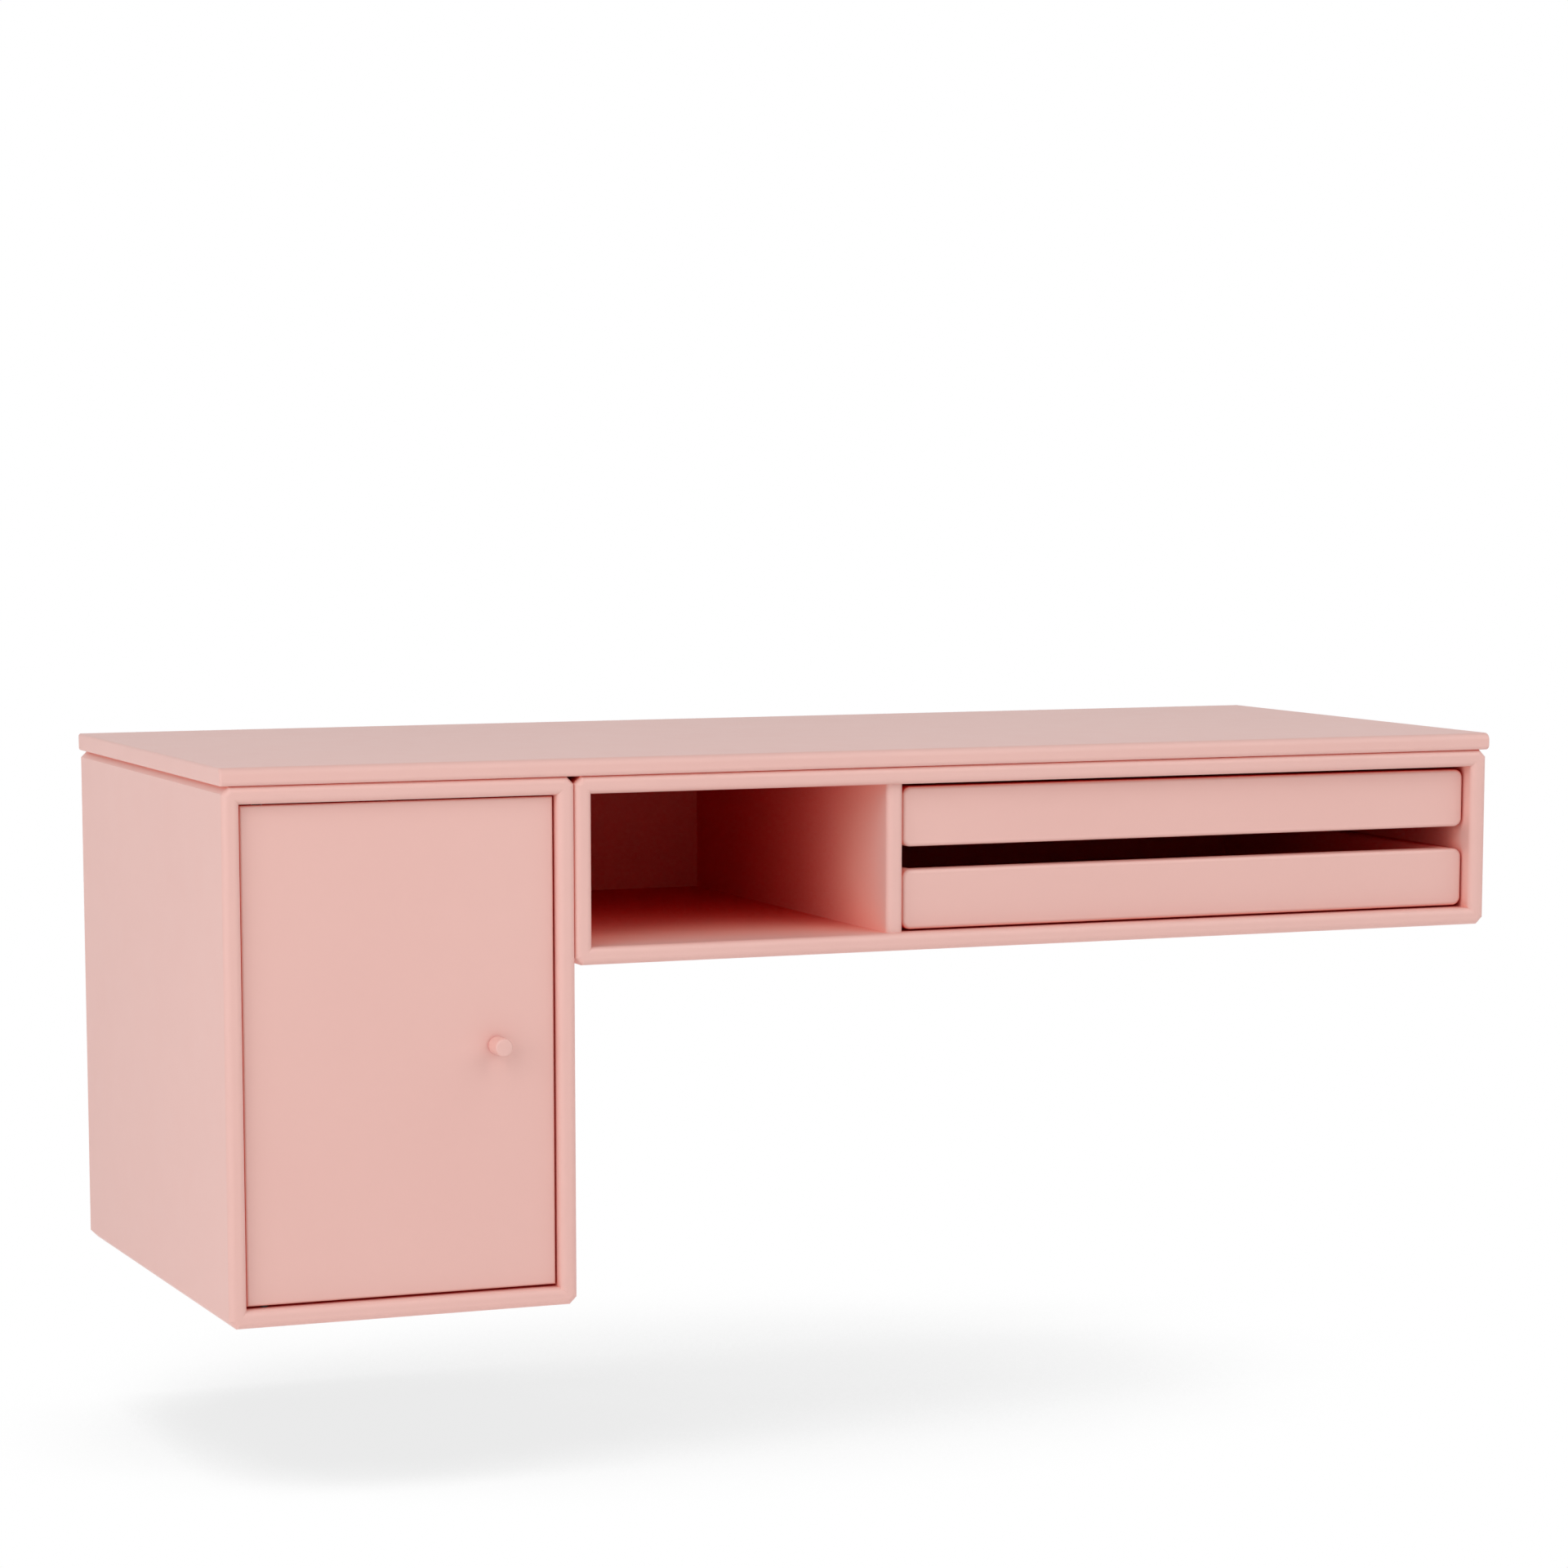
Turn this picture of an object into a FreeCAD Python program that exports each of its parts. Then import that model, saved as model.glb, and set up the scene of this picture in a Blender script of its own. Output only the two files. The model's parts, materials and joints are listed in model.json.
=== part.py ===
import FreeCAD, Part
import os
import re
import Sketcher

# Wall-hung writing desk: a tall cabinet with an inset door beside a shallow desk box that has
# an open compartment and two pull-out trays, all under one worktop.
# The wall is the plane y = 0, the front faces -Y, and the origin is on the wall, midway along
# the desk, at the height of the screw line of the wall rails.

sizes = {
    # the two boxes
    "cabinet_width": 240,
    "cabinet_height": 354,
    "desk_width": 696,
    "desk_height": 126,
    "box_depth": 380,
    "panel_thickness": 12,
    "corner_chamfer": 5,
    "front_round": 4.5,
    # loose tongues in the mitres
    "spline_thickness": 3,
    "spline_width": 8,
    "spline_offset": 6,
    "spline_end_gap": 25,
    # backs in their grooves
    "back_thickness": 9,
    "back_tongue": 5,
    # worktop
    "worktop_thickness": 12,
    "worktop_overhang": 1.5,
    "worktop_front_overhang": 1,
    "worktop_round": 5,
    "worktop_lower_round": 3,
    "worktop_end_round": 1.8,
    # screws that hold the worktop from below
    "worktop_screw_diameter": 4,
    "worktop_screw_head": 8,
    "worktop_screw_bite": 8,
    "worktop_screw_inset": 60,
    "worktop_screw_side": 110,
    # sleeves and bolts that join the boxes
    "connector_inset": 70,
    "sleeve_diameter": 8,
    "sleeve_end_gap": 4,
    "bolt_diameter": 6,
    "bolt_end_gap": 7,
    "connector_head_diameter": 14,
    "connector_head_height": 2,
    # divider and its dowels
    "compartment_width": 216,
    "divider_inset": 6,
    "dowel_diameter": 6,
    "dowel_seat": 8,
    "dowel_reach": 10,
    "dowel_inset": 60,
    # door on pivot pins
    "door_gap": 1.4,
    "door_gap_above": 1.1,
    "door_gap_below": 1.7,
    "door_inset": 7,
    "door_thickness": 12,
    "door_round": 1.5,
    "pivot_side": 13,
    "pin_diameter": 5,
    "pin_seat": 8,
    "pin_reach": 9,
    "bush_diameter": 8,
    "bush_length": 11,
    # knob
    "knob_diameter": 12,
    "knob_length": 17,
    "knob_round": 1,
    "knob_neck_diameter": 9,
    "knob_neck_length": 1.5,
    "knob_side": 40.6,
    "knob_screw_diameter": 4,
    "knob_screw_bite": 9,
    "knob_screw_head_diameter": 8,
    "knob_screw_head_height": 2.2,
    # magnetic catch
    "catch_ear_thickness": 6,
    "catch_height": 46,
    "catch_length": 22,
    "catch_housing_width": 22,
    "catch_housing_height": 26,
    "catch_round": 2,
    "magnet_width": 8,
    "magnet_length": 12,
    "magnet_height": 20,
    "catch_screw_diameter": 3,
    "catch_screw_head": 6,
    "catch_screw_bite": 9,
    "catch_screw_spacing": 36,
    "strike_diameter": 14,
    "strike_thickness": 1.5,
    "strike_pin_diameter": 4,
    "strike_pin_length": 8,
    # trays
    "tray_inset": 10.8,
    "tray_height": 41,
    "tray_gap_above": 2.6,
    "tray_gap_below": 1.4,
    "tray_side_gap": 1.4,
    "tray_rear_gap": 3,
    "tray_wall": 12,
    "tray_corner": 6,
    "tray_edge_round": 2.5,
    "tray_rim_round": 3,
    "tray_tongue": 5,
    "tray_tongue_thickness": 5,
    "tray_tongue_shoulder": 9,
    "tray_base_thickness": 4,
    "tray_base_rise": 5,
    "tray_base_groove": 4,
    # runners
    "runner_groove_height": 8,
    "runner_groove_depth": 5,
    "runner_groove_rise": 17,
    "runner_stop": 15,
    "runner_housing": 4,
    # hanging rails
    "rail_drop": 60,
    "rail_gauge": 3,
    "rail_play": 0.3,
    "rail_flange_above": 8,
    "rail_flange_below": 14,
    "rail_lip": 10,
    "rail_end_gap": 14,
    "wall_hole_diameter": 5.5,
    "wall_hole_inset": 30,
    "middle_hole_spacing": 190,
    "hang_screw_diameter": 3.5,
    "hang_screw_head": 7,
    "hang_screw_bite": 7,
    "hang_screw_inset": 50,
    # fits
    "glue_fit": 0.1,
    "pin_fit": 0.05,
    "running_gap": 0.3,
    "cut_overrun": 2,
}
match_share = 0.0001
countersink_angle = 45

document = FreeCAD.newDocument("wall_desk")
sheet = document.addObject("Spreadsheet::Sheet", "Sizes")
for row, (alias, size) in enumerate(sizes.items(), start=1):
    sheet.set(f"A{row}", alias)
    sheet.set(f"B{row}", str(size))
    sheet.setAlias(f"B{row}", alias)
document.recompute()
bodies = []


def linked(text):
    # writes each size's name as a reference to its cell
    def cell(word):
        name = word.group()
        return "Sizes." + name if name in sizes else name
    return re.sub(r"[a-z_]+", cell, text)


def value(text):
    return float(sheet.evalExpression(linked(text)))


def new_body(label):
    body = document.addObject("PartDesign::Body", label)
    body.Label = label
    body.AllowCompound = True
    bodies.append(body)
    return body


def sketch_on(body, plane, start):
    sketch = body.newObject("Sketcher::SketchObject", body.Name + "_sketch")
    support = next(item for item in body.Origin.OriginFeatures if item.Role == plane)
    sketch.AttachmentSupport = [(support, "")]
    sketch.MapMode = "FlatFace"
    sketch.setExpression("AttachmentOffset.Base.z", linked(start))
    return sketch


def place(sketch, geometry, corner, point):
    # ties one point of the sketch to the sizes, measured from the sketch's origin
    for kind, text in zip(("DistanceX", "DistanceY"), point):
        number = sketch.addConstraint(Sketcher.Constraint(kind, -1, 1, geometry, corner, value(text)))
        sketch.setExpression(f"Constraints[{number}]", linked(text))


def outline(sketch, points):
    first = sketch.GeometryCount
    spots = [FreeCAD.Vector(value(across), value(up), 0) for across, up in points]
    following = spots[1:] + spots[:1]
    for begin, end in zip(spots, following):
        sketch.addGeometry(Part.LineSegment(begin, end), False)
    for index, point in enumerate(points):
        after = first + (index + 1) % len(points)
        sketch.addConstraint(Sketcher.Constraint("Coincident", first + index, 2, after, 1))
        place(sketch, first + index, 1, point)


def circle(sketch, point, diameter):
    centre = FreeCAD.Vector(value(point[0]), value(point[1]), 0)
    round_line = Part.Circle(centre, FreeCAD.Vector(0, 0, 1), value(diameter) / 2)
    geometry = sketch.addGeometry(round_line, False)
    place(sketch, geometry, 3, point)
    number = sketch.addConstraint(Sketcher.Constraint("Diameter", geometry, value(diameter)))
    sketch.setExpression(f"Constraints[{number}]", linked(diameter))


def rectangle(low_across, high_across, low_up, high_up):
    return [(low_across, low_up), (high_across, low_up), (high_across, high_up), (low_across, high_up)]


def shape_feature(body, kind, plane, start, length, outlines, centres, diameter, taper):
    # draws the outlines at the start and carries them along the plane's normal
    sketch = sketch_on(body, plane, start)
    for points in outlines:
        outline(sketch, points)
    for point in centres:
        circle(sketch, point, diameter)
    feature = body.newObject(kind, body.Name + "_feature")
    feature.Profile = sketch
    feature.setExpression("Length", linked(length))
    feature.TaperAngle = -taper
    return feature


def add(body, plane, start, length, outlines=(), centres=(), diameter=None, taper=0):
    shape_feature(body, "PartDesign::Pad", plane, start, length, outlines, centres, diameter, taper)
    document.recompute()


def cut(body, plane, start, length, outlines=(), centres=(), diameter=None, taper=0):
    before = body.Shape.Volume
    feature = shape_feature(body, "PartDesign::Pocket", plane, start, length,
                            outlines, centres, diameter, taper)
    feature.Reversed = True
    document.recompute()
    if not body.Shape.Volume < before:
        raise RuntimeError(f"a cut in {body.Label} removes nothing")


def rounded(body, radius, chosen):
    base = body.Tip
    names = [f"Edge{number}" for number, edge in enumerate(base.Shape.Edges, start=1) if chosen(edge)]
    fillet = body.newObject("PartDesign::Fillet", body.Name + "_round")
    fillet.Base = (base, names)
    fillet.setExpression("Radius", linked(radius))
    document.recompute()


def flat_at(edge, axis, text):
    # true where the whole edge lies in one plane across the axis
    box = edge.BoundBox
    near = value("panel_thickness") * match_share
    level = value(text)
    low, high = {"x": (box.XMin, box.XMax), "y": (box.YMin, box.YMax), "z": (box.ZMin, box.ZMax)}[axis]
    return abs(low - level) < near and abs(high - level) < near


def countersunk_screws(screws, held, holder, plane, face, places, diameter, head, length):
    # heads flush with the held piece's face, shanks along the plane's normal into the holder
    cone = f"({head} - {diameter}) / 2"
    add(screws, plane, face, cone, centres=places, diameter=head, taper=countersink_angle)
    add(screws, plane, f"{face} + {cone}", f"{length} - {cone}", centres=places, diameter=diameter)
    cut(held, plane, face, cone, centres=places, diameter=f"{head} + 2 * glue_fit", taper=countersink_angle)
    for holed in (held, holder):
        cut(holed, plane, f"{face} - cut_overrun", f"{length} + glue_fit + cut_overrun",
            centres=places, diameter=f"{diameter} + 2 * glue_fit")


# places that several pieces share
left_end = "(-(cabinet_width + desk_width) / 2)"
seam = f"({left_end} + cabinet_width)"
right_end = "((cabinet_width + desk_width) / 2)"
box_top = "rail_drop"
ceiling = "(rail_drop - panel_thickness)"
cabinet_foot = "(rail_drop - cabinet_height)"
desk_foot = "(rail_drop - desk_height)"
back_recess = "(2 * rail_gauge + 3 * rail_play)"
back_face = f"({back_recess} + back_thickness)"
cabinet_middle = f"({left_end} + cabinet_width / 2)"
desk_middle = f"({seam} + desk_width / 2)"
cabinet_box = (left_end, seam, cabinet_foot, box_top)
desk_box = (seam, right_end, desk_foot, box_top)


# carcass panels: mitred along the four long corners, chamfered outside, rounded at the front
def panel_point(side, box, along, inward):
    left, right, bottom, top = box
    points = {
        "bottom": (f"{left} + {along}", f"{bottom} + {inward}"),
        "top": (f"{left} + {along}", f"{top} - {inward}"),
        "left": (f"{left} + {inward}", f"{bottom} + {along}"),
        "right": (f"{right} - {inward}", f"{bottom} + {along}"),
    }
    return points[side]


def spline_outlines(box, fit):
    # slanted rectangles across the four mitres, fit larger than the tongue itself
    left, right, bottom, top = box
    corners = ((left, bottom, 1, 1), (right, bottom, -1, 1), (right, top, -1, -1), (left, top, 1, -1))
    loops = []
    for corner_x, corner_z, inward_x, inward_z in corners:
        points = []
        for out_sign, side_sign in ((-1, -1), (-1, 1), (1, 1), (1, -1)):
            outward = f"sqrt(0.5) * (spline_offset + {out_sign} * (spline_thickness / 2 + {fit}))"
            sideways = f"{side_sign} * sqrt(0.5) * (spline_width / 2 + {fit})"
            x = f"{corner_x} + {inward_x} * (panel_thickness - {outward} + {sideways})"
            z = f"{corner_z} + {inward_z} * (panel_thickness - {outward} - {sideways})"
            points.append((x, z))
        loops.append(points)
    return loops


def carcass_panel(label, side, box):
    left, right, bottom, top = box
    upright = side in ("left", "right")
    length = f"({top} - {bottom})" if upright else f"({right} - {left})"
    half = "corner_chamfer / 2"
    section = (
        ("corner_chamfer", "0"),
        (f"({length} - corner_chamfer)", "0"),
        (f"({length} - {half})", half),
        (f"({length} - panel_thickness)", "panel_thickness"),
        ("panel_thickness", "panel_thickness"),
        (half, half),
    )
    body = new_body(label)
    points = [panel_point(side, box, along, inward) for along, inward in section]
    add(body, "XZ_Plane", "0", "box_depth", [points])
    mitre_reach = value("corner_chamfer") / 2 + value("panel_thickness") * match_share

    def front_edge(edge):
        narrow = min(edge.BoundBox.XLength, edge.BoundBox.ZLength) < mitre_reach
        return narrow and flat_at(edge, "y", "-box_depth")
    rounded(body, "front_round", front_edge)

    groove_rear = f"-({back_recess} - glue_fit)"
    groove_front = f"-({back_face} + glue_fit)"
    depth = "(panel_thickness - back_tongue - glue_fit)"
    mouth = "(panel_thickness + cut_overrun)"
    begin = f"{bottom if upright else left} - cut_overrun"
    run = f"{length} + 2 * cut_overrun"
    low = {"bottom": f"{bottom} + {depth}", "top": f"{top} - {mouth}",
           "left": f"{left} + {depth}", "right": f"{right} - {mouth}"}[side]
    high = {"bottom": f"{bottom} + {mouth}", "top": f"{top} - {depth}",
            "left": f"{left} + {mouth}", "right": f"{right} - {depth}"}[side]
    if upright:
        cut(body, "XY_Plane", begin, run, [rectangle(low, high, groove_front, groove_rear)])
    else:
        cut(body, "YZ_Plane", begin, run, [rectangle(groove_front, groove_rear, low, high)])
    slot_length = "box_depth - 2 * spline_end_gap + 2 * glue_fit"
    cut(body, "XZ_Plane", "spline_end_gap - glue_fit", slot_length, spline_outlines(box, "glue_fit"))
    return body


def carcass(prefix, box):
    panels = {side: carcass_panel(f"{prefix}_{name}", side, box) for side, name in
              (("left", "left_side"), ("right", "right_side"), ("top", "top"), ("bottom", "bottom"))}
    left, right, bottom, top = box
    inset = "(panel_thickness - back_tongue)"
    back = new_body(f"{prefix}_back")
    back_outline = rectangle(f"{left} + {inset}", f"{right} - {inset}",
                             f"{bottom} + {inset}", f"{top} - {inset}")
    add(back, "XZ_Plane", back_recess, "back_thickness", [back_outline])
    splines = new_body(f"{prefix}_mitre_splines")
    add(splines, "XZ_Plane", "spline_end_gap", "box_depth - 2 * spline_end_gap", spline_outlines(box, "0"))
    panels["back"] = back
    return panels


cabinet = carcass("cabinet", cabinet_box)
desk = carcass("desk", desk_box)

# worktop over both boxes, square at the wall, well rounded in front and eased at its ends
worktop = new_body("worktop")
worktop_left = f"{left_end} - worktop_overhang"
worktop_right = f"{right_end} + worktop_overhang"
worktop_front = "-(box_depth + worktop_front_overhang)"
worktop_plan = rectangle(worktop_left, worktop_right, worktop_front, "0")
add(worktop, "XY_Plane", box_top, "worktop_thickness", [worktop_plan])


def worktop_front_edge(level):
    return lambda edge: flat_at(edge, "y", worktop_front) and flat_at(edge, "z", level)


def worktop_end(edge):
    at_end = flat_at(edge, "x", worktop_left) or flat_at(edge, "x", worktop_right)
    return at_end and not flat_at(edge, "y", "0")


rounded(worktop, "worktop_round", worktop_front_edge(f"{box_top} + worktop_thickness"))
rounded(worktop, "worktop_lower_round", worktop_front_edge(box_top))
rounded(worktop, "worktop_end_round", worktop_end)

# screws from inside the boxes up into the worktop
screw_rows = ("-worktop_screw_inset", "-(box_depth - worktop_screw_inset)")
cabinet_screws = [(cabinet_middle, row) for row in screw_rows]
desk_columns = (f"{seam} + worktop_screw_side", f"{right_end} - worktop_screw_side")
desk_screws = [(column, row) for column in desk_columns for row in screw_rows]
worktop_screws = new_body("worktop_screws")
for panel, places in ((cabinet["top"], cabinet_screws), (desk["top"], desk_screws)):
    countersunk_screws(worktop_screws, panel, worktop, "XY_Plane", ceiling, places,
                       "worktop_screw_diameter", "worktop_screw_head", "panel_thickness + worktop_screw_bite")

# sleeves from the cabinet and bolts from the open compartment hold the boxes together
connector_height = f"{box_top} - desk_height / 2"
connectors = [("-connector_inset", connector_height), ("-(box_depth - connector_inset)", connector_height)]
cabinet_wall = f"({seam} - panel_thickness)"
desk_wall = f"({seam} + panel_thickness)"
cut(cabinet["right"], "YZ_Plane", f"{cabinet_wall} - cut_overrun", "panel_thickness + 2 * cut_overrun",
    centres=connectors, diameter="sleeve_diameter + 2 * glue_fit")
cut(desk["left"], "YZ_Plane", f"{seam} - cut_overrun", "panel_thickness + 2 * cut_overrun",
    centres=connectors, diameter="sleeve_diameter + 2 * glue_fit")
sleeves = new_body("connector_sleeves")
add(sleeves, "YZ_Plane", f"{cabinet_wall} - connector_head_height", "connector_head_height",
    centres=connectors, diameter="connector_head_diameter")
add(sleeves, "YZ_Plane", cabinet_wall, "2 * panel_thickness - sleeve_end_gap",
    centres=connectors, diameter="sleeve_diameter")
cut(sleeves, "YZ_Plane", f"{cabinet_wall} + sleeve_end_gap", "2 * panel_thickness",
    centres=connectors, diameter="bolt_diameter + 2 * glue_fit")
bolts = new_body("connector_bolts")
add(bolts, "YZ_Plane", desk_wall, "connector_head_height",
    centres=connectors, diameter="connector_head_diameter")
add(bolts, "YZ_Plane", f"{cabinet_wall} + bolt_end_gap", "2 * panel_thickness - bolt_end_gap",
    centres=connectors, diameter="bolt_diameter")

# divider between the open compartment and the trays, on dowels
divider_left = f"({seam} + panel_thickness + compartment_width)"
divider_right = f"({divider_left} + panel_thickness)"
desk_floor = f"({desk_foot} + panel_thickness)"
divider = new_body("desk_divider")
divider_plan = rectangle(divider_left, divider_right, "-(box_depth - divider_inset)", f"-{back_face}")
add(divider, "XY_Plane", desk_floor, f"{ceiling} - {desk_floor}", [divider_plan])
rounded(divider, "front_round", lambda edge: edge.BoundBox.ZLength > value("panel_thickness")
        and flat_at(edge, "y", "-(box_depth - divider_inset)"))
divider_middle = f"{divider_left} + panel_thickness / 2"
dowel_places = [(divider_middle, "-dowel_inset"), (divider_middle, "-(box_depth - dowel_inset)")]
dowels = new_body("divider_dowels")
dowel_hole = "dowel_diameter + 2 * glue_fit"
dowel_length = "dowel_seat + dowel_reach"
seat_depth = "dowel_seat + glue_fit + cut_overrun"
reach_depth = "dowel_reach + glue_fit + cut_overrun"
for dowel_start in (f"{desk_floor} - dowel_seat", f"{ceiling} - dowel_reach"):
    add(dowels, "XY_Plane", dowel_start, dowel_length, centres=dowel_places, diameter="dowel_diameter")
for panel, hole_start, depth in (
        (desk["bottom"], f"{desk_floor} - dowel_seat - glue_fit", seat_depth),
        (desk["top"], f"{ceiling} - cut_overrun", seat_depth),
        (divider, f"{desk_floor} - cut_overrun", reach_depth),
        (divider, f"{ceiling} - dowel_reach - glue_fit", reach_depth)):
    cut(panel, "XY_Plane", hole_start, depth, centres=dowel_places, diameter=dowel_hole)

# inset door with rounded front edges
door_left = f"({left_end} + panel_thickness + door_gap)"
door_right = f"({seam} - panel_thickness - door_gap)"
door_low = f"({cabinet_foot} + panel_thickness + door_gap_below)"
door_high = f"({ceiling} - door_gap_above)"
door_front = "(box_depth - door_inset)"
door_rear = f"({door_front} - door_thickness)"
door = new_body("door_panel")
add(door, "XZ_Plane", door_rear, "door_thickness", [rectangle(door_left, door_right, door_low, door_high)])
rounded(door, "door_round", lambda edge: flat_at(edge, "y", f"-{door_front}"))

# pivot pins in the cabinet, bushes let in flush in the door's ends
pivot = (f"{door_left} + pivot_side", f"-({door_rear} + door_thickness / 2)")
pin_hole = "pin_diameter + 2 * pin_fit"
bush_hole = "bush_diameter + 2 * glue_fit"
cabinet_floor = f"({cabinet_foot} + panel_thickness)"
upper_pin = new_body("upper_pivot_pin")
add(upper_pin, "XY_Plane", f"{door_high} - pin_reach", "pin_reach + door_gap_above + pin_seat",
    centres=[pivot], diameter="pin_diameter")
lower_pin = new_body("lower_pivot_pin")
add(lower_pin, "XY_Plane", f"{cabinet_floor} - pin_seat", "pin_seat + door_gap_below + pin_reach",
    centres=[pivot], diameter="pin_diameter")
cut(cabinet["top"], "XY_Plane", f"{ceiling} - cut_overrun", "pin_seat + cut_overrun",
    centres=[pivot], diameter=pin_hole)
cut(cabinet["bottom"], "XY_Plane", f"{cabinet_floor} - pin_seat", "pin_seat + cut_overrun",
    centres=[pivot], diameter=pin_hole)
upper_bush = new_body("upper_pivot_bush")
add(upper_bush, "XY_Plane", f"{door_high} - bush_length", "bush_length",
    centres=[pivot], diameter="bush_diameter")
cut(upper_bush, "XY_Plane", f"{door_high} - pin_reach - running_gap", "pin_reach + running_gap + cut_overrun",
    centres=[pivot], diameter=pin_hole)
lower_bush = new_body("lower_pivot_bush")
add(lower_bush, "XY_Plane", door_low, "bush_length", centres=[pivot], diameter="bush_diameter")
cut(lower_bush, "XY_Plane", f"{door_low} - cut_overrun", "pin_reach + running_gap + cut_overrun",
    centres=[pivot], diameter=pin_hole)
cut(door, "XY_Plane", f"{door_high} - bush_length - glue_fit", "bush_length + glue_fit + cut_overrun",
    centres=[pivot], diameter=bush_hole)
cut(door, "XY_Plane", f"{door_low} - cut_overrun", "bush_length + glue_fit + cut_overrun",
    centres=[pivot], diameter=bush_hole)

# turned knob, held by a screw from behind
knob_place = [(f"{door_right} - knob_side", f"({door_low} + {door_high}) / 2")]
knob = new_body("door_knob")
add(knob, "XZ_Plane", door_front, "knob_neck_length", centres=knob_place, diameter="knob_neck_diameter")
add(knob, "XZ_Plane", f"{door_front} + knob_neck_length", "knob_length - knob_neck_length",
    centres=knob_place, diameter="knob_diameter")
rounded(knob, "knob_round", lambda edge: flat_at(edge, "y", f"-({door_front} + knob_length)"))
cut(knob, "XZ_Plane", f"{door_front} - cut_overrun", "knob_screw_bite + glue_fit + cut_overrun",
    centres=knob_place, diameter="knob_screw_diameter + 2 * glue_fit")
knob_screw = new_body("knob_screw")
add(knob_screw, "XZ_Plane", f"{door_rear} - knob_screw_head_height", "knob_screw_head_height",
    centres=knob_place, diameter="knob_screw_head_diameter")
add(knob_screw, "XZ_Plane", door_rear, "door_thickness + knob_screw_bite",
    centres=knob_place, diameter="knob_screw_diameter")
cut(door, "XZ_Plane", f"{door_rear} - cut_overrun", "door_thickness + 2 * cut_overrun",
    centres=knob_place, diameter="knob_screw_diameter + 2 * glue_fit")

# magnetic catch on the cabinet's inner wall, strike disc driven into the back of the door
catch_middle = f"(({door_low} + {door_high}) / 2)"
catch_front = f"({door_rear} - strike_thickness - running_gap)"
housing_left = f"({cabinet_wall} - catch_housing_width)"
ear_left = f"({cabinet_wall} - catch_ear_thickness)"
catch_section = [
    (cabinet_wall, f"{catch_middle} - catch_height / 2"),
    (cabinet_wall, f"{catch_middle} + catch_height / 2"),
    (ear_left, f"{catch_middle} + catch_height / 2"),
    (ear_left, f"{catch_middle} + catch_housing_height / 2"),
    (housing_left, f"{catch_middle} + catch_housing_height / 2"),
    (housing_left, f"{catch_middle} - catch_housing_height / 2"),
    (ear_left, f"{catch_middle} - catch_housing_height / 2"),
    (ear_left, f"{catch_middle} - catch_height / 2"),
]
catch = new_body("catch_body")
add(catch, "XZ_Plane", f"{catch_front} - catch_length", "catch_length", [catch_section])
rounded(catch, "catch_round", lambda edge: edge.BoundBox.YLength > value("catch_length") / 2
        and flat_at(edge, "x", housing_left))
magnet_left = f"({housing_left} + (catch_housing_width - magnet_width) / 2)"
magnet_low = f"({catch_middle} - magnet_height / 2)"
magnet_pocket = rectangle(f"{magnet_left} - glue_fit", f"{magnet_left} + magnet_width + glue_fit",
                          f"{magnet_low} - glue_fit", f"{magnet_low} + magnet_height + glue_fit")
cut(catch, "XZ_Plane", f"{catch_front} - magnet_length", "magnet_length + cut_overrun", [magnet_pocket])
magnet = new_body("catch_magnet")
magnet_outline = rectangle(magnet_left, f"{magnet_left} + magnet_width",
                           magnet_low, f"{magnet_low} + magnet_height")
add(magnet, "XZ_Plane", f"{catch_front} - magnet_length", "magnet_length", [magnet_outline])
catch_screw_row = f"-({catch_front} - catch_length / 2)"
catch_holes = [(catch_screw_row, f"{catch_middle} + {sign} * catch_screw_spacing / 2") for sign in (-1, 1)]
catch_screws = new_body("catch_screws")
countersunk_screws(catch_screws, catch, cabinet["right"], "YZ_Plane", ear_left, catch_holes,
                   "catch_screw_diameter", "catch_screw_head", "catch_ear_thickness + catch_screw_bite")
strike_place = [(f"{magnet_left} + magnet_width / 2", catch_middle)]
strike = new_body("strike_disc")
add(strike, "XZ_Plane", f"{door_rear} - strike_thickness", "strike_thickness",
    centres=strike_place, diameter="strike_diameter")
add(strike, "XZ_Plane", door_rear, "strike_pin_length", centres=strike_place, diameter="strike_pin_diameter")
cut(door, "XZ_Plane", f"{door_rear} - cut_overrun", "strike_pin_length + glue_fit + cut_overrun",
    centres=strike_place, diameter="strike_pin_diameter + 2 * glue_fit")

# trays: front, two grooved sides, back and a base let into all four
tray_left = f"({divider_right} + tray_side_gap)"
tray_right = f"({right_end} - panel_thickness - tray_side_gap)"
tray_front = "(box_depth - tray_inset)"
front_rear = f"({tray_front} - tray_wall)"
tray_rear = f"({back_face} + tray_rear_gap)"
lower_tray_foot = f"({desk_floor} + tray_gap_below)"
upper_tray_foot = f"({ceiling} - tray_gap_above - tray_height)"
tongue_inset = "(tray_wall - tray_tongue_thickness) / 2"
tongue_low = "tray_tongue_shoulder"
tongue_high = "(tray_height - tray_tongue_shoulder)"
base_low = "tray_base_rise"
base_high = "(tray_base_rise + tray_base_thickness)"
base_left = f"({tray_left} + tray_wall - tray_base_groove)"
base_right = f"({tray_right} - tray_wall + tray_base_groove)"
base_front = f"({front_rear} + tray_base_groove)"
base_rear = f"({tray_rear} + tray_wall - tray_base_groove)"
groove_low = "runner_groove_rise"
groove_high = "(runner_groove_rise + runner_groove_height)"
groove_end = f"({front_rear} - runner_stop)"


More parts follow.
